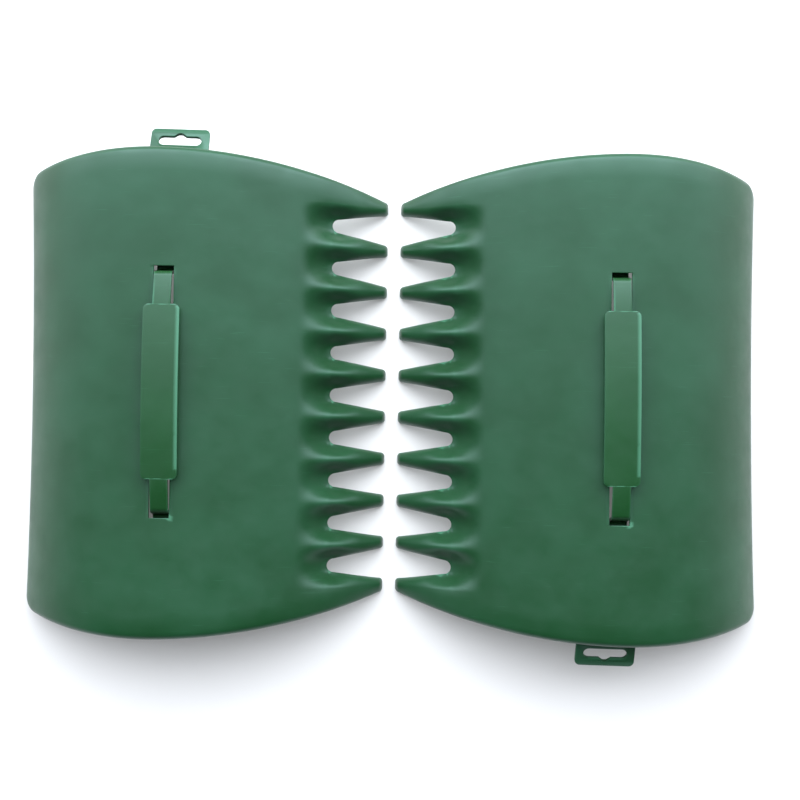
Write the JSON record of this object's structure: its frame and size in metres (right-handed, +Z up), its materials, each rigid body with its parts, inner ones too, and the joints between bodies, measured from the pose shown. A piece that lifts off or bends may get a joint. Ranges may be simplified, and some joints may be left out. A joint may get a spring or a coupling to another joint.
{
  "type": "leaf grabber hands",
  "caption": "Leaf grabber hands: arched plastic scoops with toothed front edges, flat hand straps through slots in their crowns, and hanging tabs.",
  "frame": {"origin": "On the ground, midway between the two hands and midway along them.", "axes": "+X from the left hand to the right hand, +Y along the hands towards the left hand's hanging tab, +Z up. Both hands lie hollow side down with their teeth facing each other."},
  "size_m": [0.5642, 0.3968, 0.0834],
  "materials": {
    "scoop": "satin moulded polypropylene",
    "strap": "satin moulded polypropylene"
  },
  "bodies": {
    "left_hand": {"left_scoop": "scoop"},
    "left_band": {"left_strap": "strap"},
    "right_hand": {"right_scoop": "scoop"},
    "right_band": {"right_strap": "strap"}
  },
  "joints": [
    {"name": "right_hand_place", "type": "slide", "parent": "left_hand", "child": "right_hand", "axis": [1, 0, 0], "range_m": [-0.009, 0.25]},
    {"name": "left_strap_lift", "type": "slide", "parent": "left_hand", "child": "left_band", "axis": [0, 0, 1], "range_m": [0, 0.008]},
    {"name": "right_strap_lift", "type": "slide", "parent": "right_hand", "child": "right_band", "axis": [0, 0, 1], "range_m": [0, 0.008]}
  ]
}
